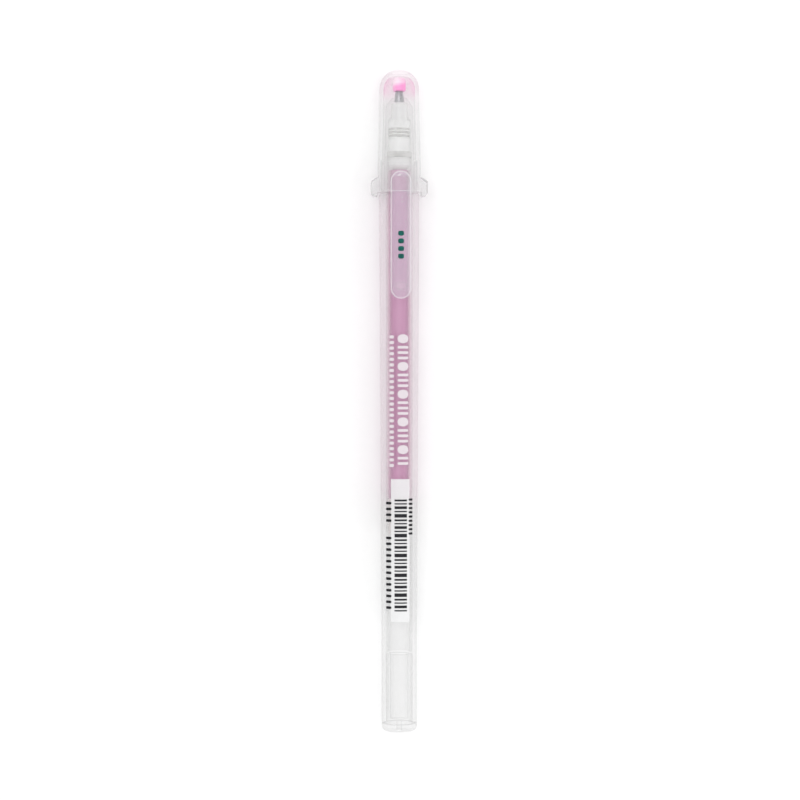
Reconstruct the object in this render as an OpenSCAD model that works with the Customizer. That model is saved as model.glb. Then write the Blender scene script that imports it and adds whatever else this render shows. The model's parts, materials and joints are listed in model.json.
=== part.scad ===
// Capped gel pen with a clear cap, pocket clip, steel point and coloured ink.
// The pen lies on its side with the clip up: cap and point at +Y, tail at -Y.
// The origin is on the surface the pen lies on, half way along the pen.
// Each piece is drawn standing on its tail end, with heights measured from
// the tail, and lay() puts it down with the clip (-Y when standing) on top.

/* [Overall] */
// Length of the capped pen, from tail to dome
pen_l = 149; // [146:0.5:154]

/* [Barrel] */
// Diameter where the barrel meets the cap mouth
barrel_d = 9.1; // [9:0.05:9.3]
// Diameter of the straight tail post
tail_d = 7.9; // [7.6:0.1:8.4]
// Length of the straight tail post, plug head included
tail_l = 17; // [12:1:19]
// Diameter of the bore that holds the refill
bore_d = 6; // [5.9:0.05:6.2]
// Diameter of the neck that the cap slides over
neck_d = 8.1; // [8:0.05:8.15]
// Length of the neck
neck_l = 6.8; // [6:0.1:7]

/* [Tail plug] */
// Length of the plug, head included
plug_l = 17.4; // [10:0.1:17.6]
// Length of the plug's head
head_l = 1.7; // [1.4:0.1:3]
// Radius of the rounded edge round the head
head_round = 1.1; // [0.4:0.1:1.3]
// Diameter of the vent hole
vent_d = 1.2; // [0.6:0.1:2]

/* [Nose cone] */
// Diameter at the front of the nose
nose_front_d = 3.4; // [3:0.1:4]
// Diameter at the shoulder behind the cone
nose_shoulder_d = 6.1; // [5.6:0.1:6.2]
// Diameter at the back of the nose, beside the neck
nose_back_d = 6.8; // [6.6:0.1:6.9]

/* [Writing point] */
// Diameter of the writing ball
ball_d = 0.7; // [0.5:0.05:0.8]
// Diameter of the steel point's shank
shank_d = 2.2; // [2.1:0.05:2.4]

/* [Refill] */
// Outside diameter of the reservoir tube
tube_d = 5.5; // [5.4:0.05:5.6]
// Wall of the reservoir tube
tube_wall = 0.3; // [0.25:0.05:0.35]
// Length of the ink column
ink_l = 74; // [20:1:90]
// Length of the grease follower behind the ink
follower_l = 8; // [4:1:12]

/* [Cap] */
// Length of the cap, mouth to dome
cap_l = 27.75; // [27.5:0.05:28]
// Diameter at the cap mouth
cap_d = 9.7; // [9.5:0.05:10.2]
// Diameter where the dome begins
dome_d = 8.9; // [8.8:0.05:9]
// Radial clearance of the cap on the neck
cap_fit = 0.08; // [0.05:0.01:0.1]
// Thickness of the dome at the top
dome_wall = 1; // [0.9:0.05:1.1]

/* [Cap clip and lugs] */
// Width of the pocket clip
clip_w = 4.7; // [4:0.1:5.2]
// Length of the pocket clip
clip_l = 28.6; // [20:0.2:34]
// Thickness of the pocket clip
clip_t = 1.25; // [1:0.05:1.6]
// Distance over the two anti-roll lugs
lug_span = 12.7; // [11:0.1:14]
// Width of each lug round the cap
lug_w = 3; // [2:0.1:4]

/* [Label] */
// Width of the label
label_w = 4.2; // [3:0.1:5]
// Length of the label
label_l = 32; // [20:1:45]
// Distance of the label from the tail
label_at = 24.8; // [19:0.1:30]

/* [Hidden] */
$fn = 96;

sliver = 0.01;          // gap between pieces that are pressed or bonded together
clear_rgba = [0.93, 0.93, 0.94, 0.35];
barrel_rgba = [0.93, 0.89, 0.91, 0.35];
frost_rgba = [0.9, 0.91, 0.9, 0.6];
ink_rgb = [0.86, 0.62, 0.78];
seal_rgb = [0.96, 0.62, 0.84];
steel_rgb = [0.66, 0.67, 0.7];
grease_rgba = [0.92, 0.88, 0.84, 0.6];
label_rgb = [0.95, 0.95, 0.95];

// Barrel stations
tail_r = tail_d / 2;
barrel_r = barrel_d / 2;
bore_r = bore_d / 2;
neck_r = neck_d / 2;
mouth_s = pen_l - cap_l;
mouth_gap = 0.25;                   // the cap mouth stops just short of the shoulder
shoulder_s = mouth_s - mouth_gap;
neck_s = shoulder_s + neck_l;       // front edge of the barrel
rim = 0.3;                          // chamfers on the barrel's edges
spigot_l = 6.5;                     // how far the nose reaches into the barrel
spigot_r = 3.5;

// Tail plug
sleeve_r = bore_r - sliver;
sleeve_wall = 0.9;
head_wall = 1;                      // solid part of the sleeve beside the head

// Nose and refill stations
collar_s = neck_s + 0.4;            // front of the nose's collar
nose_s = pen_l - 6.4;               // front face of the nose
cone_s = nose_s - 1.9;              // shoulder behind the cone
seat_s = pen_l - 18.6;              // step that the holder's flange stops against
flange_l = 1.3;
tube_front_s = seat_s - flange_l;
tube_gap = 0.4;                     // between the tube's tail and the plug
tube_back_s = plug_l + tube_gap;
tube_r = tube_d / 2;
ink_r = tube_r - tube_wall - sliver;
holder_back_s = tube_front_s - 2.8;
holder_lead = 1;                    // sloping lead at the holder's back
holder_front_s = pen_l - 7.5;
stem_s = holder_front_s - 4.2;      // where the holder narrows to its stem
stem_r = 1.75;
holder_r = 2.35;
ridge_r = 2.48;
ridge_at = seat_s + 2.9;            // back of the first of the holder's ridges
ridge_pitch = 0.8;
ridge_w = 0.35;
ridges = 3;
funnel_r = 1.4;                     // mouth of the funnel in the holder's back
funnel_l = 1.6;
nose_bore_r = 2.55;
ink_front_s = holder_back_s - sliver;
ink_back_s = ink_front_s - ink_l;

// Writing point
ball_r = ball_d / 2;
ball_s = pen_l - 2.85;              // centre of the writing ball
ball_fit = 0.02;
socket_r = ball_r + ball_fit;
lip_s = ball_s + 0.43 * ball_r;     // the socket closes past the ball's widest place
lip_r = ball_r + 0.1;
taper_s = pen_l - 6;
taper_r = 1;
shank_r = shank_d / 2;
shank_back_s = holder_front_s - 5;
shank_edge = 0.2;
channel_r = 0.15;
channel_l = 1.4;                    // from the feed to the ball
feed_r = 0.5;

// Back-flow valve
valve_ball_r = 0.75;
chamber_r = 1.1;
chamber_back_s = tube_front_s;
chamber_l = 2.6;
seat_cone_l = 0.6;                  // length of the cone that the valve ball sits on
inlet_r = 0.5;
valve_ball_s = chamber_back_s + 0.3;

// Cap
cap_r = cap_d / 2;
axis_h = cap_r;                     // the cap mouth touches the surface
dome_r = dome_d / 2;
dome_s = pen_l - dome_r;
straight_s = mouth_s + 6.5;         // the outside starts to narrow here
cap_bore_r = neck_r + cap_fit;
step_s = collar_s + 0.3;            // inner step in front of the neck
step_r = 3.85;
side_wall = 0.9;                    // thickness of the dome at its sides
inner_r = dome_r - side_wall;
inner_s = pen_l - dome_wall - inner_r;
boss_r = 2.1;
boss_s = pen_l - 3.4;
seal_r = 1.5;
seal_top_s = pen_l - 1.7;
seal_back_s = pen_l - 4.9;
seal_fit = 0.08;                    // the seal clears the point all round
seal_round = 1.2;                   // the seal's domed front
seal_edge = 0.25;                   // chamfer at the seal's back

// Clip and lugs
clip_inner = 5.55;                  // height of the clip's underside above the axis
clip_front_s = mouth_s + 4.35;
clip_back_s = clip_front_s - clip_l;
root_l = 3.2;
bump_r = 1;
bump_s = clip_back_s + 3;
cloth_gap = 0.3;                    // between the clip's bump and the barrel
lug_r = lug_span / 2;
lug_front_s = mouth_s + 3.45;
lug_back_s = mouth_s - 0.85;
lug_inner_r = barrel_r + 0.35;
wall_bite = 0.4;                    // how deep the lugs are rooted in the cap wall

label_t = 0.08;

// Lays a standing piece down along Y, clip side up.
module lay() translate([0, -pen_l / 2, axis_h]) rotate([-90, 0, 0]) children();

// A turned solid from [radius, height] points.
module turned(points) rotate_extrude() polygon(points);

// Points of a quarter round about [r, s], from the end face out to the side.
// The end face is towards the tail when way is -1, and towards the dome when it is 1.
function round_points(r, s, size, way, steps = 8) =
    [for (i = [0 : steps]) [r + size * sin(90 * i / steps), s + way * size * cos(90 * i / steps)]];

// The same points from the side in to the end face.
function reversed(points) = [for (i = [len(points) - 1 : -1 : 0]) points[i]];

// Radius of the barrel's tapered outside at height s.
function barrel_at(s) = tail_r + (barrel_r - tail_r) * (s - tail_l) / (shoulder_s - rim - tail_l);

module barrel() {
    color(barrel_rgba) lay() turned([
        [bore_r, head_l], [tail_r, head_l], [tail_r, tail_l],
        [barrel_r, shoulder_s - rim], [barrel_r - rim, shoulder_s], [neck_r, shoulder_s],
        [neck_r, neck_s - rim / 2], [neck_r - rim / 2, neck_s],
        [spigot_r + sliver, neck_s], [spigot_r + sliver, neck_s - spigot_l],
        [bore_r, neck_s - spigot_l]]);
}

// Closes the tail: a rounded head, and a hollow sleeve in the barrel's bore.
module tail_plug() {
    vent_r = vent_d / 2;
    inside_r = sleeve_r - sleeve_wall;
    color(frost_rgba) lay() turned(concat(
        [[vent_r, 0]],
        round_points(tail_r - head_round, head_round, head_round, -1),
        [[tail_r, head_l - sliver], [sleeve_r, head_l - sliver], [sleeve_r, plug_l - rim],
         [sleeve_r - rim, plug_l], [inside_r, plug_l], [inside_r, head_l + head_wall],
         [vent_r, head_l + head_wall]]));
}

// Clear nose: a cone round the point, a collar on the neck and a spigot in it.
module nose_cone() {
    tube_clear_r = tube_r + 0.1;
    color(clear_rgba) lay() turned([
        [shank_r + sliver, nose_s], [nose_front_d / 2, nose_s],
        [nose_shoulder_d / 2, cone_s], [nose_back_d / 2, collar_s],
        [neck_r - rim / 2, collar_s], [neck_r - rim / 2, neck_s + sliver],
        [spigot_r, neck_s + sliver], [spigot_r, neck_s - spigot_l + rim],
        [spigot_r - rim, neck_s - spigot_l + sliver], [tube_clear_r, neck_s - spigot_l + sliver],
        [tube_clear_r, seat_s + sliver], [nose_bore_r, seat_s + sliver],
        [nose_bore_r, stem_s + 0.3], [stem_r + 0.1, stem_s + 1],
        [stem_r + 0.1, holder_front_s + sliver], [shank_r + sliver, holder_front_s + sliver]]);
}

// Joins the tube to the point. A flange stops it in the nose, three ridges
// centre it, and the chamber in its back holds the valve ball.
module tip_holder() {
    plug_r = ink_r;
    chamber_front_s = chamber_back_s + chamber_l;
    color(frost_rgba) lay() difference() {
        union() {
            turned([
                [0, holder_back_s], [plug_r - holder_lead, holder_back_s],
                [plug_r, holder_back_s + holder_lead],
                [plug_r, tube_front_s + sliver], [tube_r, tube_front_s + sliver],
                [tube_r, seat_s], [holder_r, seat_s], [holder_r, stem_s], [stem_r, stem_s],
                [stem_r, holder_front_s - rim], [stem_r - rim, holder_front_s], [0, holder_front_s]]);
            for (i = [0 : ridges - 1])
                translate([0, 0, ridge_at + ridge_pitch * i]) cylinder(r = ridge_r, h = ridge_w);
        }
        turned([
            [0, holder_back_s - 1], [funnel_r, holder_back_s - 1], [funnel_r, holder_back_s],
            [inlet_r, holder_back_s + funnel_l], [inlet_r, chamber_back_s - seat_cone_l / 2],
            [chamber_r, chamber_back_s + seat_cone_l / 2], [chamber_r, chamber_front_s],
            [inlet_r, chamber_front_s + seat_cone_l], [inlet_r, shank_back_s],
            [shank_r + sliver, shank_back_s], [shank_r + sliver, holder_front_s + 1],
            [0, holder_front_s + 1]]);
    }
}

// Steel point: shank, long taper and the socket for the writing ball.
module point_body() {
    color(steel_rgb) lay() difference() {
        turned([
            [0, shank_back_s + sliver], [shank_r - shank_edge, shank_back_s + sliver],
            [shank_r, shank_back_s + shank_edge], [shank_r, holder_front_s],
            [taper_r, taper_s], [lip_r, lip_s], [0, lip_s]]);
        translate([0, 0, ball_s]) sphere(r = socket_r);
        translate([0, 0, ball_s - channel_l]) cylinder(r = channel_r, h = channel_l);
        translate([0, 0, shank_back_s - 1])
            cylinder(r = feed_r, h = ball_s - channel_l + sliver - shank_back_s + 1);
    }
}

module writing_ball() {
    color(steel_rgb) lay() translate([0, 0, ball_s]) sphere(r = ball_r);
}

// Stops ink running back when the point is held up.
module valve_ball() {
    color(steel_rgb) lay() translate([0, 0, valve_ball_s]) sphere(r = valve_ball_r);
}

module ink_reservoir() {
    color(frost_rgba) lay() turned([
        [tube_r - tube_wall, tube_back_s], [tube_r, tube_back_s],
        [tube_r, tube_front_s], [tube_r - tube_wall, tube_front_s]]);
}

module ink_column() {
    color(ink_rgb) lay() translate([0, 0, ink_back_s]) cylinder(r = ink_r, h = ink_l);
}

module ink_follower() {
    color(grease_rgba) lay()
        translate([0, 0, ink_back_s - sliver - follower_l]) cylinder(r = ink_r, h = follower_l);
}

// Thin film bonded to the barrel, curved and tapered with it.
module label() {
    from_s = label_at;
    to_s = label_at + label_l;
    in_from = barrel_at(from_s) + sliver;
    in_to = barrel_at(to_s) + sliver;
    color(label_rgb) lay() intersection() {
        turned([[in_from, from_s], [in_from + label_t, from_s], [in_to + label_t, to_s], [in_to, to_s]]);
        translate([-label_w / 2, -2 * barrel_r, 0]) cube([label_w, 2 * barrel_r, pen_l]);
    }
}

// Flat tongue with round ends, a root on the cap wall and a bump that grips cloth.
module clip() {
    end_r = clip_w / 2;
    translate([0, -clip_inner, 0]) rotate([90, 0, 0]) linear_extrude(height = clip_t) {
        for (s = [clip_back_s + end_r, clip_front_s - end_r]) translate([0, s]) circle(r = end_r);
        translate([-end_r, clip_back_s + end_r]) square([clip_w, clip_l - clip_w]);
    }
    translate([-end_r + rim, -clip_inner - clip_t / 2, mouth_s])
        cube([clip_w - 2 * rim, clip_inner + clip_t / 2 - cap_bore_r + rim, root_l]);
    bump_low = barrel_at(bump_s) + cloth_gap;
    translate([0, -bump_low - bump_r, bump_s]) rotate([0, 90, 0])
        cylinder(r = bump_r, h = clip_w * 0.6, center = true);
}

// One of the two lugs beside the mouth that stop the pen rolling.
module lug() {
    wall_r = cap_r - wall_bite;
    rotate([90, 0, 0]) linear_extrude(height = lug_w, center = true) polygon([
        [wall_r, lug_front_s + 0.15], [cap_r, lug_front_s], [lug_r, lug_front_s - 0.95],
        [lug_r, lug_back_s + 0.7], [lug_r - 0.5, lug_back_s], [lug_inner_r, lug_back_s],
        [lug_inner_r, mouth_s], [wall_r, mouth_s]]);
}

// One moulding: domed shell with an inner boss for the seal, clip and two lugs.
module cap() {
    color(clear_rgba) lay() difference() {
        union() {
            turned([[0, mouth_s], [cap_r, mouth_s], [cap_r, straight_s], [dome_r, dome_s], [0, dome_s]]);
            translate([0, 0, dome_s]) sphere(r = dome_r);
            clip();
            lug();
            mirror([1, 0, 0]) lug();
        }
        difference() {
            union() {
                turned([
                    [0, mouth_s - 1], [cap_bore_r, mouth_s - 1], [cap_bore_r, step_s],
                    [step_r, step_s], [inner_r, inner_s], [0, inner_s]]);
                translate([0, 0, inner_s]) sphere(r = inner_r);
            }
            translate([0, 0, boss_s]) cylinder(r = boss_r, h = pen_l - boss_s);
        }
        translate([0, 0, boss_s - 1]) cylinder(r = seal_r, h = seal_top_s - boss_s + 1);
    }
}

// Soft plug in the dome with a deep recess that the point pushes into.
module cap_seal() {
    back_r = taper_r + (lip_r - taper_r) * (seal_back_s - taper_s) / (lip_s - taper_s);
    tip_s = ball_s + ball_r + seal_fit;
    side_r = seal_r - sliver;
    front_s = seal_top_s - sliver;
    color(seal_rgb) lay() turned(concat(
        [[back_r + seal_fit, seal_back_s], [side_r - seal_edge, seal_back_s],
         [side_r, seal_back_s + seal_edge]],
        reversed(round_points(side_r - seal_round, front_s - seal_round, seal_round, 1)),
        [[0, front_s], [0, tip_s], [ball_r * 0.8, tip_s], [lip_r + seal_fit, lip_s]]));
}

barrel();
tail_plug();
nose_cone();
tip_holder();
point_body();
writing_ball();
valve_ball();
ink_reservoir();
ink_column();
ink_follower();
label();
cap();
cap_seal();
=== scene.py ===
"""Looks of a capped gel pen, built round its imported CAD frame."""

import json
import math

import bmesh
import bpy
from mathutils import Matrix, Vector


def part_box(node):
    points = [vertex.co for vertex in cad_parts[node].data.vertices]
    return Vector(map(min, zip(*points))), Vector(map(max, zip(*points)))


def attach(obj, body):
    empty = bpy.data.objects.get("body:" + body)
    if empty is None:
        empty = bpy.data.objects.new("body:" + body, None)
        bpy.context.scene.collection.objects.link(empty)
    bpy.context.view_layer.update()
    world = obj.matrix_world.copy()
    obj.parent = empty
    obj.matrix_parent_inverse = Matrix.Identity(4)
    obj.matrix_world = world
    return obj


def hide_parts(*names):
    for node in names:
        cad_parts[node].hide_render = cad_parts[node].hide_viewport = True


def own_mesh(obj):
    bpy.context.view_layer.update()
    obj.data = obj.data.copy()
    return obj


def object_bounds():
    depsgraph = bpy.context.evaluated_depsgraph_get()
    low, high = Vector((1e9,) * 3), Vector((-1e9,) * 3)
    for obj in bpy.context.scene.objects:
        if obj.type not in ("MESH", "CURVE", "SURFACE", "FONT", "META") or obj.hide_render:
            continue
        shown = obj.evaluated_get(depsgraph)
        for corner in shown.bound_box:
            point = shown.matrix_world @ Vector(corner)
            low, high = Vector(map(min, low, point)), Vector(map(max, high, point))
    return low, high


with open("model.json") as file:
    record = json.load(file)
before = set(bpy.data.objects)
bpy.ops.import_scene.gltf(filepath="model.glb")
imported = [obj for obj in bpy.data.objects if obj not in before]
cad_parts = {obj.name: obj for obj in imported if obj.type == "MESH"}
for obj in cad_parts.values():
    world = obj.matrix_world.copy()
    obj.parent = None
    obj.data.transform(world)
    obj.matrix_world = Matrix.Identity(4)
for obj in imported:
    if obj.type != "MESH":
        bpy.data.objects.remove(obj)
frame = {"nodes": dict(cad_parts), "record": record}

MM = 0.001
cad_low, cad_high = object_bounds()
RECORD = frame["record"]
BODIES = RECORD["behaviour"]["bodies"]
BODY_OF = {n: body for body, nodes in BODIES.items() for n in nodes}

# Height of the pen's axis above the surface it lies on, in mm
_low, _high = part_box("barrel")
AXIS_Z = (_low.z + _high.z) / 2 / MM

STEPS = 96  # points round a turned piece
ARC_STEPS = 4  # points in a rounded corner
SHARP = math.radians(38)


def span(node):
    """(radius, back, front) of a turned CAD node, in mm."""
    low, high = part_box(node)
    return (high.x - low.x) / 2 / MM, low.y / MM, high.y / MM


# ---------------------------------------------------------------- turned shapes


def ring_key(co, found, near=0.006):
    """Index of the (radius, y) corner that a CAD vertex belongs to."""
    r, y = math.hypot(co.x, co.z - AXIS_Z * MM) / MM, co.y / MM
    for i, (fr, fy) in enumerate(found):
        if abs(fr - r) < near and abs(fy - y) < near:
            return i
    found.append((r, y))
    return len(found) - 1


def frame_profile(node):
    """The (radius, y) outline in mm of a turned CAD node, and whether it is a closed loop."""
    mesh = frame["nodes"][node].data
    corners = []
    keys = [ring_key(v.co, corners) for v in mesh.vertices]
    near = {i: set() for i in range(len(corners))}
    for e in mesh.edges:
        a, b = keys[e.vertices[0]], keys[e.vertices[1]]
        if a != b:
            near[a].add(b)
            near[b].add(a)
    ends = [i for i in near if len(near[i]) == 1]
    closed = not ends
    at = min(ends, key=lambda i: corners[i][1]) if ends else 0
    order = [at]
    while True:
        left = [i for i in near[at] if i not in order]
        if not left:
            break
        at = min(left, key=lambda i: math.dist(corners[i], corners[order[-1]]))
        order.append(at)
    points = [corners[i] for i in order]
    if not closed:
        points = [(0, points[0][1])] + points + [(0, points[-1][1])]
    return points, closed


def towards(a, b, length):
    """The point that far from a towards b."""
    share = length / math.dist(a, b)
    return (a[0] + (b[0] - a[0]) * share, a[1] + (b[1] - a[1]) * share)


def soften(points, closed, size):
    """The outline with its corners rounded, and a support point beside each round."""
    out = []
    n = len(points)
    for i, p in enumerate(points):
        if not closed and i in (0, n - 1):
            out.append(p)
            continue
        before, after = points[i - 1], points[(i + 1) % n]
        room_a, room_b = math.dist(p, before), math.dist(p, after)
        cut = min(size, 0.4 * room_a, 0.4 * room_b)
        start, end = towards(p, before, cut), towards(p, after, cut)
        if room_a > 4 * cut:
            out.append(towards(p, before, 1.6 * cut))
        for k in range(ARC_STEPS + 1):
            t = k / ARC_STEPS
            out.append(tuple((1 - t) ** 2 * s + 2 * t * (1 - t) * c + t * t * e
                             for s, c, e in zip(start, p, end)))
        if room_b > 4 * cut:
            out.append(towards(p, after, 1.6 * cut))
    return out


def lathe(points, closed):
    """A turned mesh about the pen's axis from a (radius, y) outline in mm."""
    bm = bmesh.new()
    rings = []
    for r, y in points:
        if r < 1e-4:
            rings.append([bm.verts.new((0, y * MM, AXIS_Z * MM))])
            continue
        rings.append([bm.verts.new((r * MM * math.sin(a), y * MM, (AXIS_Z + r * math.cos(a)) * MM))
                      for a in (2 * math.pi * k / STEPS for k in range(STEPS))])
    pairs = list(zip(rings, rings[1:])) + ([(rings[-1], rings[0])] if closed else [])
    for one, two in pairs:
        for k in range(STEPS):
            m = (k + 1) % STEPS
            quad = [one[k % len(one)], one[m % len(one)], two[m % len(two)], two[k % len(two)]]
            corners = list(dict.fromkeys(quad))
            if len(corners) > 2:
                bm.faces.new(corners)
    return bm


def finish_mesh(name, bm, material):
    """An object from a bmesh, smooth but for its real edges."""
    bmesh.ops.recalc_face_normals(bm, faces=bm.faces)
    mesh = bpy.data.meshes.new(name)
    bm.to_mesh(mesh)
    bm.free()
    mesh.shade_smooth()
    mesh.set_sharp_from_angle(angle=SHARP)
    mesh.materials.append(material)
    obj = bpy.data.objects.new(name, mesh)
    bpy.context.scene.collection.objects.link(obj)
    return obj


def stand_for(obj, node):
    """obj rides as the CAD node that it stands for, which it hides."""
    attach(obj, BODY_OF[node])
    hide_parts(node)
    return obj


def turned_piece(name, node, material, size):
    """The CAD node's turned shape again, with corners rounded by size in mm."""
    points, closed = frame_profile(node)
    return stand_for(finish_mesh(name, lathe(soften(points, closed, size), closed), material), node)


def ball_piece(name, node, material):
    """A smooth ball where the CAD node's ball is."""
    r, back, front = span(node)
    bm = bmesh.new()
    bmesh.ops.create_uvsphere(bm, u_segments=48, v_segments=24, radius=r * MM)
    bmesh.ops.translate(bm, vec=(0, (back + front) / 2 * MM, AXIS_Z * MM), verts=bm.verts)
    return stand_for(finish_mesh(name, bm, material), node)


# -------------------------------------------------------------------- materials


class Graph:
    """A material's node graph, with short calls for the nodes used here."""

    def __init__(self, name):
        self.material = bpy.data.materials.new(name)
        self.material.use_nodes = True
        self.tree = self.material.node_tree
        self.tree.nodes.clear()
        self.out = self.add("ShaderNodeOutputMaterial")
        self.place = self.add("ShaderNodeTexCoord").outputs["Object"]

    def add(self, kind, **values):
        node = self.tree.nodes.new(kind)
        for key, value in values.items():
            setattr(node, key, value)
        return node

    def link(self, source, target):
        self.tree.links.new(source, target)

    def stretched(self, scale):
        """The place in the frame, scaled along each axis."""
        mapping = self.add("ShaderNodeMapping")
        mapping.inputs["Scale"].default_value = scale
        self.link(self.place, mapping.inputs["Vector"])
        return mapping.outputs["Vector"]

    def measures(self):
        """Places along X, Y and Z, and R from the pen's axis."""
        parts = self.add("ShaderNodeSeparateXYZ")
        self.link(self.place, parts.inputs[0])
        offset = self.add("ShaderNodeVectorMath", operation="MULTIPLY_ADD")
        self.link(self.place, offset.inputs[0])
        offset.inputs[1].default_value = (1, 0, 1)
        offset.inputs[2].default_value = (0, 0, -AXIS_Z * MM)
        length = self.add("ShaderNodeVectorMath", operation="LENGTH")
        self.link(offset.outputs["Vector"], length.inputs[0])
        return {"X": parts.outputs["X"], "Y": parts.outputs["Y"], "Z": parts.outputs["Z"],
                "R": length.outputs["Value"]}

    def noise(self, scale, detail=3, where=None):
        node = self.add("ShaderNodeTexNoise")
        node.inputs["Scale"].default_value = scale
        node.inputs["Detail"].default_value = detail
        self.link(where or self.place, node.inputs["Vector"])
        return node.outputs["Fac"]

    def ranged(self, value, low, high, from_low=0.0, from_high=1.0):
        node = self.add("ShaderNodeMapRange")
        self.link(value, node.inputs["Value"])
        for key, number in (("From Min", from_low), ("From Max", from_high),
                            ("To Min", low), ("To Max", high)):
            node.inputs[key].default_value = number
        return node.outputs["Result"]

    def blend(self, factor, one, two):
        """A colour between one and two."""
        node = self.add("ShaderNodeMix", data_type="RGBA")
        self.link(factor, node.inputs["Factor"])
        for socket, colour in ((node.inputs["A"], one), (node.inputs["B"], two)):
            if isinstance(colour, tuple):
                socket.default_value = (*colour, 1)
            else:
                self.link(colour, socket)
        return node.outputs["Result"]

    def between(self, factor, one, two):
        """A number between one and two."""
        node = self.add("ShaderNodeMix", data_type="FLOAT")
        self.link(factor, node.inputs["Factor"])
        for socket, number in ((node.inputs["A"], one), (node.inputs["B"], two)):
            if isinstance(number, (int, float)):
                socket.default_value = number
            else:
                self.link(number, socket)
        return node.outputs["Result"]

    def math(self, operation, one, two):
        node = self.add("ShaderNodeMath", operation=operation)
        self.link(one, node.inputs[0])
        if isinstance(two, (int, float)):
            node.inputs[1].default_value = two
        else:
            self.link(two, node.inputs[1])
        return node.outputs[0]

    def bump(self, height, strength, distance):
        node = self.add("ShaderNodeBump")
        node.inputs["Strength"].default_value = strength
        node.inputs["Distance"].default_value = distance
        self.link(height, node.inputs["Height"])
        return node.outputs["Normal"]

    def principled(self, colour, rough, normal=None, **values):
        node = self.add("ShaderNodeBsdfPrincipled")
        if isinstance(colour, tuple):
            node.inputs["Base Color"].default_value = (*colour, 1)
        else:
            self.link(colour, node.inputs["Base Color"])
        if isinstance(rough, float):
            node.inputs["Roughness"].default_value = rough
        else:
            self.link(rough, node.inputs["Roughness"])
        if normal:
            self.link(normal, node.inputs["Normal"])
        for key, value in values.items():
            node.inputs[key.replace("_", " ").title().replace("Ior", "IOR")].default_value = value
        return node.outputs["BSDF"]

    def over(self, cover, left, skin):
        """The skin over clear stuff that leaves that much of the light from behind."""
        clear = self.add("ShaderNodeBsdfTransparent")
        mix = self.add("ShaderNodeMixShader")
        for socket, value in ((clear.inputs["Color"], left), (mix.inputs["Fac"], cover)):
            if isinstance(value, float):
                socket.default_value = value
            elif isinstance(value, tuple):
                socket.default_value = (*value, 1)
            else:
                self.link(value, socket)
        self.link(clear.outputs[0], mix.inputs[1])
        self.link(skin, mix.inputs[2])
        return mix.outputs[0]

    def done(self, surface):
        self.link(surface, self.out.inputs["Surface"])
        return self.material


def grain(g, mottle, fine):
    """Slow mottle plus fine streaks along the pen, as on moulded plastic."""
    slow = g.noise(mottle)
    streaks = g.noise(fine, 2, g.stretched((1, 0.08, 1)))
    return g.math("ADD", slow, streaks)


def see_through(name, face, edge, rough, zones=()):
    """Clear or frosted plastic, denser towards its edges as thick plastic is.

    face, edge: how it looks straight through, and where it turns away. Each is
    (its own colour, how much of what is behind it covers, what it leaves of the rest).
    zones: (limits, face, edge), the looks it changes to inside those limits. A limit is
    (measure, start, end): inside from end on, in mm along X, Y or Z or R from the axis.
    """
    g = Graph(name)
    texture = grain(g, 420, 1100)
    weight = g.add("ShaderNodeLayerWeight")
    weight.inputs["Blend"].default_value = 0.5
    steep = g.math("POWER", weight.outputs["Facing"], 1.5)
    measures = g.measures()
    shares = []
    for limits, _, _ in zones:
        share = 1.0
        for measure, start, end in limits:
            share = g.math("MULTIPLY", g.ranged(measures[measure], 0, 1, start * MM, end * MM), share)
        shares.append(share)

    def zoned(part, side, mixer):
        value = (face, edge)[side][part]
        for share, zone in zip(shares, zones):
            value = mixer(share, value, zone[1 + side][part])
        return value

    colour = zoned(0, 0, g.blend)
    cover = g.between(steep, zoned(1, 0, g.between), zoned(1, 1, g.between))
    cover = g.math("MULTIPLY", cover, g.ranged(texture, 0.96, 1.04, 0.6, 1.4))
    left = g.blend(steep, zoned(2, 0, g.blend), zoned(2, 1, g.blend))
    skin = g.principled(colour, g.ranged(texture, rough, rough + 0.08, 0.6, 1.4),
                        g.bump(texture, 0.04, 0.00002), ior=1.49, specular_ior_level=0.3)
    return g.done(g.over(cover, left, skin))


def steel_material():
    """Turned steel: fine rings round the point."""
    g = Graph("turned_steel")
    rings = g.noise(30000, 2, g.stretched((0.02, 1, 0.02)))
    worn = g.noise(1500)
    rough = g.ranged(worn, 0.26, 0.42, 0.3, 0.7)
    colour = g.blend(worn, (0.33, 0.33, 0.35), (0.46, 0.46, 0.48))
    return g.done(g.principled(colour, rough, g.bump(rings, 0.25, 0.00002), metallic=1.0))


def ink_material():
    """Pink gel, with slow clouds in it."""
    g = Graph("pink_gel")
    clouds = g.noise(260, 4, g.stretched((1, 0.25, 1)))
    colour = g.blend(g.ranged(clouds, 0, 1, 0.35, 0.65), (0.475, 0.24, 0.385), (0.515, 0.262, 0.42))
    skin = g.principled(colour, g.ranged(clouds, 0.3, 0.4), g.bump(clouds, 0.1, 0.00005))
    weight = g.add("ShaderNodeLayerWeight")
    weight.inputs["Blend"].default_value = 0.5
    thin = g.ranged(weight.outputs["Facing"], 1.0, 0.05, 0.15, 0.6)
    return g.done(g.over(thin, (0.98, 0.92, 0.955), skin))


def grease_material():
    """Cloudy grease."""
    g = Graph("follower_grease")
    clouds = g.noise(900)
    colour = g.blend(clouds, (0.66, 0.6, 0.6), (0.72, 0.67, 0.66))
    return g.done(g.principled(colour, 0.45, g.bump(clouds, 0.2, 0.00005)))


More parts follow.
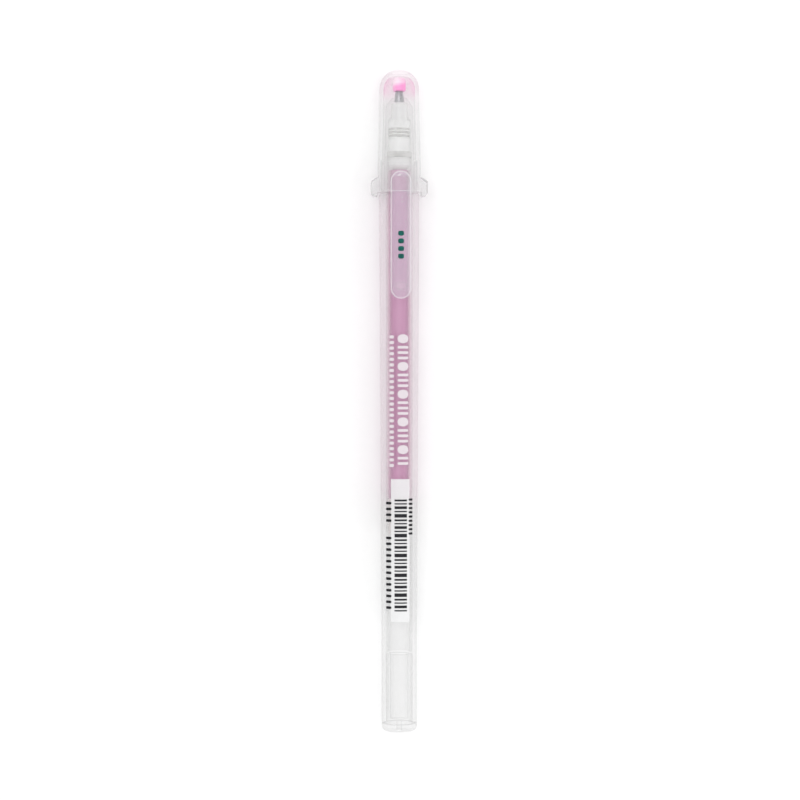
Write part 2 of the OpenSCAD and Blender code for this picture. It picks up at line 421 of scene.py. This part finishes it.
def seal_material():
    """Soft pink elastomer, with a painted highlight: paler towards the front and the left."""
    g = Graph("pink_elastomer")
    mottle = g.noise(1800)
    r, back, front = span("cap_seal")
    measures = g.measures()
    along = g.ranged(measures["Y"], 0, 1, (back + 0.9) * MM, (front - 1.2) * MM)
    across = g.ranged(measures["X"], 0.3, -0.6, -r * MM, r * MM)
    # painted highlight: the seal paler towards its front and its left
    painted_highlight = g.math("ADD", g.math("ADD", along, across), g.ranged(mottle, -0.1, 0.1))
    colour = g.blend(painted_highlight, (0.9, 0.3, 0.62), (0.98, 0.86, 0.93))
    return g.done(g.principled(colour, g.ranged(mottle, 0.25, 0.4), g.bump(mottle, 0.15, 0.00003)))


def film_material():
    """White printed film that lets a little of what is under it through."""
    g = Graph("white_film")
    fibres = g.noise(2200, 4)
    colour = g.blend(fibres, (0.84, 0.84, 0.85), (0.88, 0.88, 0.88))
    skin = g.principled(colour, g.ranged(fibres, 0.4, 0.55), g.bump(fibres, 0.1, 0.00001))
    return g.done(g.over(0.6, (1.0, 1.0, 1.0), skin))


def print_material(name, dark, light):
    """Printing ink, a little uneven."""
    g = Graph(name)
    patch = g.noise(3500)
    colour = g.blend(g.ranged(patch, 0, 1, 0.3, 0.7), dark, light)
    return g.done(g.principled(colour, g.ranged(patch, 0.35, 0.5), g.bump(patch, 0.1, 0.00001),
                               specular_ior_level=0.1))


# ------------------------------------------------------------- the turned pieces

_, ink_back, ink_front = span("ink_column")
# Where the gel lies at rest: plastics here are tinted pink as painted pink light from the gel.
GEL_GLOW_ZONE = [("Y", ink_back - 3, ink_back + 3), ("Y", ink_front + 0.3, ink_front - 0.3)]
cap_low, cap_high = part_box("cap")
CLIP_T = 1.25  # thickness of the clip
CLIP_TOP = cap_high.z / MM
CAP_R = AXIS_Z  # the cap lies on the surface
CLIP_ZONE = [("Z", CLIP_TOP - CLIP_T - 0.4, CLIP_TOP - CLIP_T)]
DISH = 0.1  # the clip's top is that much below its raised rim
# The clip's raised rim, and anything rising to it, is near-white as a painted highlight.
RIM_HIGHLIGHT_ZONE = [("Z", CLIP_TOP - 0.8 * DISH, CLIP_TOP - 0.2 * DISH)]


def grey(value):
    """A colour without hue."""
    return (value, value, value)


MOUTH_GAP = 0.25  # the cap's mouth stops that far in front of the barrel's shoulder
SHOULDER = max(y for r, y in frame_profile("barrel")[0] if r > span("nose_cone")[0] + 0.25)
MOUTH = SHOULDER + MOUTH_GAP
DOME_TOP = cad_high.y / MM
tail_r, tail_back, _ = span("tail_plug")
DOME_R = 4.45
SIDE_WALL = 0.9
INNER_R = DOME_R - SIDE_WALL
BOSS_R = 2.1  # of the boss that holds the seal

holder_points, _ = frame_profile("tip_holder")
FLANGE = sorted(y for r, y in holder_points if r > span("ink_reservoir")[0] - 0.02)
RIDGE_R = max(r for r, y in holder_points if y > FLANGE[-1] + 1)
ridges = sorted(y for r, y in holder_points if r > RIDGE_R - 0.01 and y > FLANGE[-1] + 1)
STEM_BACK = min(y for r, y in holder_points if 1.6 < r < 1.9)


def groove(at, width):
    """Limits of a narrow band along the pen."""
    soft = 0.12
    return [("Y", at - width / 2 - soft, at - width / 2), ("Y", at + width / 2 + soft, at + width / 2)]


def looks(colour, face_cover, edge_cover, face_left, edge_left):
    """The two looks of a plastic of one colour."""
    def full(value):
        return grey(value) if isinstance(value, float) else value
    return (full(colour), face_cover, full(face_left)), (full(colour), edge_cover, full(edge_left))


barrel_plastic = see_through(
    "barrel_plastic", *looks(0.78, 0.03, 0.28, 0.996, 0.93), 0.14,
    # painted pink light from the gel on the barrel
    [(GEL_GLOW_ZONE, *looks((0.805, 0.785, 0.795), 0.02, 0.2, (0.998, 0.996, 0.997), (0.95, 0.92, 0.935))),
     # painted highlight: a paler, clearer band along the barrel's shoulder
     ([("Y", SHOULDER - 0.1, SHOULDER + 0.1)], *looks(0.9, 0.06, 0.1, 0.999, 0.98))])
cap_plastic = see_through(
    "cap_plastic", *looks((0.88, 0.875, 0.877), 0.06, 0.25, 0.998, 0.95), 0.12,
    # painted highlight: a brighter rim round the cap's mouth
    [([("Y", MOUTH + 0.35, MOUTH + 0.1)], *looks(0.93, 0.2, 0.45, 0.99, 0.95)),
     # painted shade: what stands out from the cap below the clip, mainly the lugs, darker grey and
     # darkest at the edges
     ([("R", CAP_R + 0.1, CAP_R + 0.25), ("Z", CLIP_TOP - CLIP_T - 0.4, CLIP_TOP - CLIP_T - 0.5)],
      *looks((0.7, 0.71, 0.71), 0.12, 0.8, 0.97, 0.8)),
     # painted pink reflection of the seal: a faint tint over the dome, pink arcs on its inner wall and
     # a pinkish boss
     ([("Y", DOME_TOP - 6, DOME_TOP - 4)],
      *looks((0.84, 0.81, 0.825), 0.04, 0.3, (1.0, 0.99, 0.995), (0.92, 0.87, 0.895))),
     ([("R", INNER_R + 0.12, INNER_R + 0.06), ("Y", DOME_TOP - 7, DOME_TOP - 5),
       ("Y", DOME_TOP - 1.9, DOME_TOP - 2.3)],
      *looks((0.92, 0.64, 0.8), 0.03, 0.5, (1.0, 0.99, 0.995), (0.97, 0.8, 0.89))),
     ([("R", BOSS_R + 0.2, BOSS_R + 0.1), ("Y", DOME_TOP - 4, DOME_TOP - 3.8)],
      *looks((0.92, 0.84, 0.88), 0.02, 0.08, 1.0, (0.99, 0.96, 0.975))),
     (CLIP_ZONE, *looks((0.76, 0.79, 0.84), 0.14, 0.36, (0.98, 0.972, 0.98), (0.93, 0.89, 0.92))),
     # painted highlight on the clip's rim
     (RIM_HIGHLIGHT_ZONE, *looks(0.97, 0.36, 0.45, 1.0, 0.97))])
nose_plastic = see_through(
    "nose_plastic", *looks((0.84, 0.84, 0.83), 0.04, 0.15, 0.996, 0.965), 0.16)
plug_plastic = see_through(
    "plug_plastic", *looks(0.8, 0.025, 0.2, 0.997, 0.955), 0.2,
    [([("Y", tail_back + 2.2, tail_back + 1.6)], *looks(0.8, 0.08, 0.35, 0.985, 0.92))])
# painted shade in the grooves between the holder's ridges
groove_shade_look = looks((0.6, 0.6, 0.57), 0.3, 0.5, 0.95, 0.85)
holder_plastic = see_through(
    "holder_plastic", *looks((0.86, 0.86, 0.85), 0.4, 0.6, 0.995, 0.92), 0.22,
    # the stem denser, to hide the steel in it, and paler as a painted highlight down it
    [([("Y", STEM_BACK, STEM_BACK + 0.4)], *looks(0.95, 0.55, 0.6, 0.99, 0.95))]
    + [(groove((one + two) / 2, two - one), *groove_shade_look)
       for one, two in zip(ridges[1::2], ridges[2::2] + [ridges[-1] + 0.4])]
    # painted shade: a darker band over the holder's flange
    + [(groove((FLANGE[0] + FLANGE[-1]) / 2, FLANGE[-1] - FLANGE[0]),
        *looks((0.76, 0.76, 0.74), 0.35, 0.6, 0.98, 0.9))])
tube_plastic = see_through(
    "tube_plastic", *looks(0.8, 0.03, 0.15, 0.996, 0.965), 0.25,
    # painted pink light from the gel on the refill tube
    [(GEL_GLOW_ZONE, *looks((0.84, 0.77, 0.805), 0.02, 0.12, (0.997, 0.985, 0.99), (0.975, 0.935, 0.955)))])
steel = steel_material()

turned_piece("barrel_tube", "barrel", barrel_plastic, 0.14)
turned_piece("tail_plug_moulding", "tail_plug", plug_plastic, 0.12)
turned_piece("nose_moulding", "nose_cone", nose_plastic, 0.15)
turned_piece("holder_moulding", "tip_holder", holder_plastic, 0.08)
turned_piece("steel_point", "point_body", steel, 0.06)
turned_piece("refill_tube", "ink_reservoir", tube_plastic, 0.06)
turned_piece("grease_plug", "ink_follower", grease_material(), 0.3)
turned_piece("dome_seal", "cap_seal", seal_material(), 0.15)
ball_piece("point_ball", "writing_ball", steel)
ball_piece("check_ball", "valve_ball", steel)

gel = turned_piece("gel_column", "ink_column", ink_material(), 0.2)
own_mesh(gel)

frame["nodes"]["label"].data.materials.clear()
frame["nodes"]["label"].data.materials.append(film_material())

# ---------------------------------------------------------------------- the cap

barrel_points, _ = frame_profile("barrel")
barrel_r, _, neck_front = span("barrel")
nose_r, _, _ = span("nose_cone")
seal_r, _, seal_front = span("cap_seal")
NECK_R = nose_r + 0.15
CAP_BORE = NECK_R + 0.08
STEP = neck_front + 0.7
BOSS_BACK = DOME_TOP - 3.4
ROOF = 1.0  # thickness of the dome at its top
DOME_STEPS = 20


def arc(centre, radius, first, last, steps):
    """(radius, y) points of an arc about a point on the axis, angles from the front."""
    return [(radius * math.sin(a), centre + radius * math.cos(a))
            for a in (first + (last - first) * k / steps for k in range(steps + 1))]


def cap_shell():
    """The domed shell, with its inner step and the boss that holds the seal."""
    dome = DOME_TOP - DOME_R
    inner = DOME_TOP - ROOF - INNER_R
    outside = arc(dome, DOME_R, 0, math.pi / 2, DOME_STEPS)
    outside[0] = (0, DOME_TOP)
    meets = math.asin(BOSS_R / INNER_R)
    inside = arc(inner, INNER_R, math.pi / 2, meets, DOME_STEPS)
    lower = soften([outside[-1], (CAP_R, MOUTH + 6.5), (CAP_R, MOUTH), (CAP_BORE, MOUTH),
                    (CAP_BORE, STEP), (3.85, STEP), inside[0]], False, 0.22)
    boss = soften([inside[-1], (BOSS_R, BOSS_BACK), (seal_r + 0.01, BOSS_BACK),
                   (seal_r + 0.01, seal_front + 0.01), (0, seal_front + 0.01)], False, 0.1)
    return lathe(outside[:-1] + lower + inside[1:-1] + boss, False)


def stadium(width, length, steps=14):
    """((x, y), outward (x, y)) round a shape with two round ends, about its middle."""
    half, straight = width / 2, length / 2 - width / 2
    out = []
    for end, first in ((1, 0), (-1, math.pi)):
        for k in range(steps + 1):
            a = first + math.pi * k / steps
            out.append(((half * math.cos(a), end * straight + half * math.sin(a)),
                        (math.cos(a), math.sin(a))))
    return out


def plate(outline, levels):
    """A plate whose outline shrinks by inset at each (inset, z) level, closed at both ends."""
    bm = bmesh.new()
    rings = [[bm.verts.new(((x - nx * inset) * MM, (y - ny * inset) * MM, z * MM))
              for (x, y), (nx, ny) in outline] for inset, z in levels]
    n = len(outline)
    for one, two in zip(rings, rings[1:]):
        for k in range(n):
            bm.faces.new((one[k], one[(k + 1) % n], two[(k + 1) % n], two[k]))
    bm.faces.new(rings[0])
    bm.faces.new(rings[-1])
    return bm


CLIP_BACK = cap_low.y / MM
CLIP_W = 4.7
CLIP_L = 28.6
LUG_R = cap_high.x / MM
EDGE = 0.18  # radius of the clip's rounded edges
RIM_W = 0.12  # width over which its rim falls to the dished top


def quarter(size, steps=5):
    """(inset, rise) points of a rounded edge."""
    return [(size * (1 - math.sin(math.pi / 2 * k / steps)),
             size * (1 - math.cos(math.pi / 2 * k / steps))) for k in range(steps + 1)]


def clip_plate():
    """The tongue: flat below, with round edges and a low rim round its top that takes the painted
    highlight.
    """
    low = CLIP_TOP - CLIP_T
    levels = [(inset, low + rise) for inset, rise in quarter(EDGE)]
    levels += [(inset, CLIP_TOP - rise) for inset, rise in reversed(quarter(EDGE))]
    for k in range(1, 5):
        share = k / 4
        levels.append((EDGE + 0.04 + RIM_W * share, CLIP_TOP - DISH * share * share * (3 - 2 * share)))
    levels.append((CLIP_W / 2 * 0.97, CLIP_TOP - DISH))
    bm = plate(stadium(CLIP_W, CLIP_L), levels)
    bmesh.ops.translate(bm, vec=(0, (CLIP_BACK + CLIP_L / 2) * MM, 0), verts=bm.verts)
    return bm


def block(points, first, last, flat_axis, bevel):
    """A bevelled prism from 2-D points in mm. flat_axis says which axis it runs along."""
    bm = bmesh.new()
    rings = []
    for at in (first, last):
        if flat_axis == "z":
            rings.append([bm.verts.new((x * MM, y * MM, at * MM)) for x, y in points])
        else:
            rings.append([bm.verts.new((at * MM, y * MM, z * MM)) for y, z in points])
    n = len(points)
    for k in range(n):
        bm.faces.new((rings[0][k], rings[0][(k + 1) % n], rings[1][(k + 1) % n], rings[1][k]))
    bm.faces.new(rings[0])
    bm.faces.new(rings[1])
    bmesh.ops.recalc_face_normals(bm, faces=bm.faces)
    bmesh.ops.bevel(bm, geom=bm.edges[:], offset=bevel * MM, segments=3, profile=0.5,
                    affect="EDGES", clamp_overlap=True)
    return bm


def clip_root():
    """The block that joins the clip to the cap wall."""
    low = AXIS_Z + CAP_BORE + 0.25
    half = CLIP_W / 2 - 0.35
    return block([(MOUTH + 0.05, low), (MOUTH + 3.2, low), (MOUTH + 3.2, CLIP_TOP - 0.6),
                  (MOUTH + 0.05, CLIP_TOP - 0.6)], -half, half, "x", 0.18)


def glint_spot(x, y, long, wide, turn=0.0):
    """A small flat-lying raised spot on the clip's top, near-white from the rim's painted highlight: a
    painted glint.
    """
    bm = bmesh.new()
    bmesh.ops.create_uvsphere(bm, u_segments=20, v_segments=10, radius=MM)
    rise = DISH + 0.1
    bmesh.ops.scale(bm, vec=(long, wide, rise), verts=bm.verts)
    bmesh.ops.rotate(bm, matrix=Matrix.Rotation(turn, 3, "Z"), verts=bm.verts)
    bmesh.ops.translate(bm, vec=(x * MM, y * MM, (CLIP_TOP - rise - 0.005) * MM), verts=bm.verts)
    return bm


def clip_glint_spots():
    """Painted glints: a long spot at the front of the clip, and small spots behind the mouth."""
    front = CLIP_BACK + CLIP_L
    return [glint_spot(-0.35, front - 1.0, 0.8, 0.28, math.radians(28)),
            glint_spot(0.25, MOUTH - 1.7, 0.38, 0.2), glint_spot(0.25, MOUTH - 2.6, 0.38, 0.2),
            glint_spot(-0.9, MOUTH - 5.6, 0.2, 0.2), glint_spot(1.0, MOUTH - 7.0, 0.2, 0.2)]


def clip_bump():
    """The bump under the free end that grips cloth."""
    bm = bmesh.new()
    cloth_gap = 0.3
    at = CLIP_BACK + 3
    radius = 1.0
    centre = AXIS_Z + barrel_radius(at) + cloth_gap + radius
    bmesh.ops.create_uvsphere(bm, u_segments=32, v_segments=16, radius=radius * MM)
    for v in bm.verts:
        v.co.x *= 1.5
    bmesh.ops.translate(bm, vec=(0, at * MM, centre * MM), verts=bm.verts)
    return bm


def lug(side):
    """One of the two side lugs, a wedge with a sloping front."""
    wall = CAP_R - 0.4
    points = [(wall, MOUTH + 3.6), (CAP_R, MOUTH + 3.45), (LUG_R, MOUTH + 2.5),
              (LUG_R, MOUTH - 0.15), (LUG_R - 0.5, MOUTH - 0.85), (barrel_r + 0.35, MOUTH - 0.85),
              (barrel_r + 0.35, MOUTH + 0.1), (wall, MOUTH + 0.1)]
    return block([(side * x, y) for x, y in points], AXIS_Z - 1.5, AXIS_Z + 1.5, "z", 0.22)


def barrel_radius(y):
    """Radius of the barrel's outside at y, in mm."""
    outer = sorted({(py, pr) for pr, py in barrel_points if pr > NECK_R - 0.5 and py <= SHOULDER})
    outer = [p for p in outer if p[1] > tail_r - 0.05]
    for (y0, r0), (y1, r1) in zip(outer, outer[1:]):
        if y0 <= y <= y1 and y1 > y0:
            return r0 + (r1 - r0) * (y - y0) / (y1 - y0)
    return outer[0][1]


def join_solids(base, others):
    """Unites closed solids into base, so that no face is left inside it."""
    for other in others:
        cut = base.modifiers.new("join", "BOOLEAN")
        cut.operation = "UNION"
        cut.solver = "EXACT"
        cut.object = other
    bpy.context.view_layer.update()
    made = bpy.data.meshes.new_from_object(base.evaluated_get(bpy.context.evaluated_depsgraph_get()))
    base.modifiers.clear()
    base.data = made
    for other in others:
        bpy.data.objects.remove(other)
    made.shade_smooth()
    for face in made.polygons:
        if len(face.vertices) > 4:
            face.use_smooth = False
    made.set_sharp_from_angle(angle=SHARP)
    return base


cap = finish_mesh("cap_moulding", cap_shell(), cap_plastic)
cap_parts = [clip_plate(), clip_root(), clip_bump(), lug(1), lug(-1)] + clip_glint_spots()
extras = [finish_mesh(f"cap_part_{i}", bm, cap_plastic) for i, bm in enumerate(cap_parts)]
stand_for(join_solids(cap, extras), "cap")

# ---------------------------------------------------------------------- printing

LIFT = 0.015  # how far printing stands off what it is printed on, in mm


def on_barrel(x, y, lift):
    """A point on the barrel's outside, x mm round from the top."""
    r = barrel_radius(y) + lift
    return Vector((r * math.sin(x / r), y, AXIS_Z + r * math.cos(x / r))) * MM


def on_clip(x, y, lift):
    """A point on the clip's top, inside its rim."""
    return Vector((x, y, CLIP_TOP - DISH + lift)) * MM


def mark(bm, surface, x, y, width, length, corner, lift, rows=10, columns=8):
    """A rounded rectangle printed on a surface."""
    grid = []
    for i in range(rows + 1):
        v = length * (i / rows - 0.5)
        past = max(0.0, abs(v) - (length / 2 - corner))
        inset = corner - math.sqrt(max(0.0, corner * corner - past * past)) if corner else 0
        half = width / 2 - inset
        grid.append([bm.verts.new(surface(x + half * (2 * j / columns - 1), y + v, lift))
                     for j in range(columns + 1)])
    for one, two in zip(grid, grid[1:]):
        for j in range(columns):
            bm.faces.new((one[j], one[j + 1], two[j + 1], two[j]))


def printed(name, marks, surface, material, body, lift):
    """One printed layer made of (x, y, width, length, corner) marks in mm."""
    bm = bmesh.new()
    for x, y, width, length, corner in marks:
        mark(bm, surface, x, y, width, length, corner, lift)
    bmesh.ops.remove_doubles(bm, verts=bm.verts, dist=1e-8)
    obj = finish_mesh(name, bm, material)
    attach(obj, body)
    return obj


label_low, label_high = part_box("label")
LABEL_BACK, LABEL_FRONT = label_low.y / MM, label_high.y / MM
LABEL_T = 0.09  # just over the film's thickness
INK_BLACK = print_material("black_print", (0.012, 0.012, 0.014), (0.03, 0.03, 0.034))
INK_WHITE = print_material("white_print", (0.67, 0.61, 0.645), (0.71, 0.65, 0.685))
INK_GREEN = print_material("green_print", (0.004, 0.05, 0.045), (0.01, 0.13, 0.11))


def label_bars():
    """Plain bars across the label, in an even repeat that encodes nothing."""
    widths = (0.3, 0.62, 0.3, 0.42, 0.8)
    gap = 0.4
    marks = []
    y = LABEL_BACK + 2.4
    while y < LABEL_FRONT - 4.2:
        width = widths[len(marks) % len(widths)]
        marks.append((0.1, y + width / 2, 2.85, width, 0))
        y += width + gap
    return marks


def side_ticks():
    """Short plain ticks in a column each side of the bars."""
    first = LABEL_BACK + 3.2
    left = [(-2.8, first + 1.3 * i, 1.5, 0.6, 0.28) for i in range(19) if i not in (13, 14)]
    right = [(2.5, LABEL_FRONT - 4.6 - 0.95 * i, 1.1, 0.5, 0.2) for i in range(9)]
    return left + right


def barrel_motif():
    """A band of plain pills and dots, with a column of fine dashes beside it."""
    front, back = LABEL_FRONT + 32.4, LABEL_FRONT + 2.2
    marks = []
    y = front
    lengths = (2.0, 0.6, 0.6, 0.6)
    while y - lengths[len(marks) % 4] > back:
        length = lengths[len(marks) % 4]
        marks.append((0.6, y - length / 2, 2.5, length, min(length, 2.4) / 2))
        y -= length + 0.6
    dashes = int((front - back) / 1.25)
    marks += [(-2.0, front - 0.6 - 1.25 * i, 1.1, 0.7, 0.25) for i in range(dashes)]
    return marks


printed("label_bars", label_bars(), on_barrel, INK_BLACK, BODY_OF["label"], LABEL_T + LIFT)
printed("barrel_ticks", side_ticks(), on_barrel, INK_BLACK, BODY_OF["barrel"], LABEL_T + LIFT)
printed("barrel_motif", barrel_motif(), on_barrel, INK_WHITE, BODY_OF["barrel"], LIFT)
clip_marks = [(0, CLIP_BACK + 9.5 + 1.7 * i, 1.3, 1.1, 0.35) for i in range(4)]
printed("clip_motif", clip_marks, on_clip, INK_GREEN, BODY_OF["cap"], LIFT)

# ------------------------------------------------------------- floor, light, view

CENTRE = Vector((0, (cad_low.y + cad_high.y) / 2, AXIS_Z * MM))
PEN_L = cad_high.y - cad_low.y


def floor_material():
    """Plain white paper."""
    g = Graph("white_floor")
    tooth = g.noise(700, 4)
    colour = g.blend(tooth, (0.9, 0.9, 0.9), (0.92, 0.92, 0.92))
    return g.done(g.principled(colour, 0.7, g.bump(tooth, 0.05, 0.0001), specular_ior_level=0.1))


def make_floor():
    """A wide flat sheet under the pen."""
    bm = bmesh.new()
    bmesh.ops.create_grid(bm, x_segments=8, y_segments=8, size=3)
    obj = finish_mesh("floor", bm, floor_material())


def area_light(name, place, size, power):
    """A soft rectangular light aimed at the pen."""
    data = bpy.data.lights.new(name, "AREA")
    data.shape = "RECTANGLE"
    data.size, data.size_y = size
    data.energy = power
    obj = bpy.data.objects.new(name, data)
    obj.location = CENTRE + Vector(place)
    obj.rotation_mode = "QUATERNION"
    obj.rotation_quaternion = (-Vector(place)).to_track_quat("-Z", "Y")
    bpy.context.scene.collection.objects.link(obj)


def make_lights():
    """An even white surround and two soft lights."""
    world = bpy.data.worlds.new("studio")
    world.use_nodes = True
    sky = world.node_tree.nodes["Background"]
    sky.inputs["Color"].default_value = (1, 1, 1, 1)
    sky.inputs["Strength"].default_value = 0.83
    bpy.context.scene.world = world
    area_light("overhead", (-0.12, 0.05, 0.9), (0.5, 0.9), 2.95)
    area_light("side", (0.8, -0.2, 0.6), (0.5, 0.9), 1.38)


def make_camera():
    """Straight above the pen but for a few degrees of roll, cap at the top."""
    distance = 0.48
    roll = math.radians(3.6)
    pen_share = 0.825625  # of the picture's height
    data = bpy.data.cameras.new("camera")
    data.sensor_width = 36
    data.lens = data.sensor_width * distance / (PEN_L / pen_share)
    data.clip_start, data.clip_end = 0.01, 20
    obj = bpy.data.objects.new("camera", data)
    aside = 0.18 * MM  # the pen lies that far left of the picture's middle
    outward = Vector((-math.sin(roll), 0, math.cos(roll)))
    obj.location = CENTRE + Vector((aside, 0, 0)) + outward * distance
    obj.rotation_euler = (0, -roll, 0)
    bpy.context.scene.collection.objects.link(obj)
    bpy.context.scene.camera = obj


make_floor()
make_lights()
make_camera()
bpy.context.scene.view_settings.view_transform = "Standard"
bpy.context.scene.cycles.transparent_max_bounces = 48
